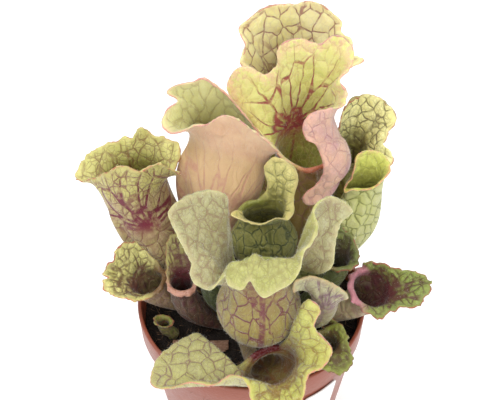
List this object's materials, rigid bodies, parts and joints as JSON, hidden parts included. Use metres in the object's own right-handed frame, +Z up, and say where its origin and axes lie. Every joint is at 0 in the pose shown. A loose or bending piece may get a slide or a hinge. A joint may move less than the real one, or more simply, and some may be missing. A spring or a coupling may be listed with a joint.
{
  "type": "potted carnivorous plant",
  "caption": "Low clump of red-veined pitcher leaves with flared, waved hoods, rooted in dark peat in a small tapered round plastic pot.",
  "frame": {"origin": "middle of the pot's foot, where the pot stands", "axes": "+Z up, -Y towards the plant's front, +X to its right as seen from the front"},
  "size_m": [0.1366, 0.128, 0.1775],
  "materials": {
    "leaf_green": "living leaf, satin, with dark red veins",
    "leaf_pale": "living leaf, satin, pale green with a fine net of veins",
    "leaf_dark": "living leaf, satin, dark green",
    "leaf_blush": "living leaf, matt, peach with pink veins",
    "leaf_maroon": "living leaf, satin, maroon",
    "dry_leaf": "dry, matt, straw brown",
    "label_paper": "blank, white, slightly shiny",
    "peat": "loose, fibrous, near black",
    "rhizome": "rough, brown",
    "pot_plastic": "terracotta coloured, satin, moulded"
  },
  "bodies": {
    "root": {"pitcher_front_high": "leaf_green", "pitcher_front_low": "leaf_green", "pitcher_middle": "leaf_green", "pitcher_back_left": "leaf_blush", "pitcher_back_right": "leaf_green", "pitcher_rear": "leaf_green", "pitcher_right_back": "leaf_green", "pitcher_right_pale": "leaf_pale", "pitcher_left": "leaf_green", "pitcher_left_low": "leaf_green", "pitcher_left_inner": "leaf_maroon", "pitcher_inner_dark": "leaf_dark", "pitcher_right_low": "leaf_maroon", "pitcher_right_dark": "leaf_dark", "pitcher_front_right": "leaf_green", "pitcher_young_fan": "leaf_pale", "seedling_right": "leaf_green", "seedling_left": "leaf_green", "old_leaf": "dry_leaf", "label": "label_paper", "peat": "peat", "rhizome": "rhizome", "pot": "pot_plastic"}
  },
  "joints": []
}
